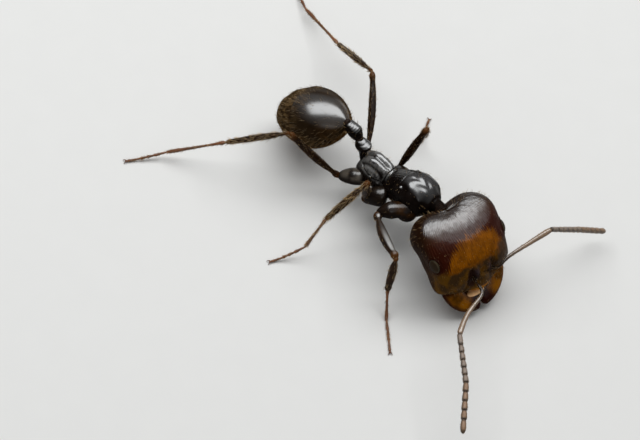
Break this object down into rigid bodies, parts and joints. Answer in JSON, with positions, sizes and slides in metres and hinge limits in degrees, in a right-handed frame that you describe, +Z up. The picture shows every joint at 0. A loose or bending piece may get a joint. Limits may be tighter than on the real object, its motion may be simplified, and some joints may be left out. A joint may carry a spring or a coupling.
{
  "type": "harvester ant",
  "caption": "Life-size harvester ant, a big-headed major worker, standing still with its head lowered and its feelers and legs spread.",
  "frame": {"origin": "middle of the bounding box at floor level, under the trunk", "axes": "the head points towards -Y, the ant's left side is +X, +Z is up"},
  "size_m": [0.0118, 0.0178, 0.0037],
  "materials": {
    "black_shell": "glossy black-brown shell of trunk, waist, gaster and coxae",
    "head_shell": "glossy shell, black-red behind and orange-brown in front",
    "amber_shell": "smooth amber shell with dark edges",
    "eye_lens": "satin olive-grey eye",
    "feeler_shell": "satin brown-grey shell with fine pale down",
    "brown_shell": "glossy dark brown shell of the upper legs",
    "foot_shell": "satin amber-brown shell of the feet"
  },
  "bodies": {
    "root": {"propodeum": "black_shell", "mesothorax": "black_shell", "pronotum": "black_shell", "eye_left": "eye_lens", "eye_right": "eye_lens", "head": "head_shell", "mandible_left": "amber_shell", "mandible_right": "amber_shell", "scape_left": "feeler_shell", "funiculus_base_left": "feeler_shell", "funiculus_tip_left": "feeler_shell", "scape_right": "feeler_shell", "funiculus_base_right": "feeler_shell", "funiculus_tip_right": "feeler_shell", "petiole": "black_shell", "postpetiole": "black_shell", "gaster_1": "black_shell", "gaster_2": "black_shell", "gaster_3": "black_shell", "gaster_4": "black_shell", "fore_coxa_left": "black_shell", "fore_femur_left": "brown_shell", "fore_tibia_left": "brown_shell", "fore_basitarsus_left": "foot_shell", "fore_tarsus_left": "foot_shell", "fore_coxa_right": "black_shell", "fore_femur_right": "brown_shell", "fore_tibia_right": "brown_shell", "fore_basitarsus_right": "foot_shell", "fore_tarsus_right": "foot_shell", "mid_coxa_left": "black_shell", "mid_femur_left": "brown_shell", "mid_tibia_left": "brown_shell", "mid_basitarsus_left": "foot_shell", "mid_tarsus_left": "foot_shell", "mid_coxa_right": "black_shell", "mid_femur_right": "brown_shell", "mid_tibia_right": "brown_shell", "mid_basitarsus_right": "foot_shell", "mid_tarsus_right": "foot_shell", "hind_coxa_left": "black_shell", "hind_femur_left": "brown_shell", "hind_tibia_left": "brown_shell", "hind_basitarsus_left": "foot_shell", "hind_tarsus_left": "foot_shell", "hind_coxa_right": "black_shell", "hind_femur_right": "brown_shell", "hind_tibia_right": "brown_shell", "hind_basitarsus_right": "foot_shell", "hind_tarsus_right": "foot_shell"}
  },
  "joints": []
}
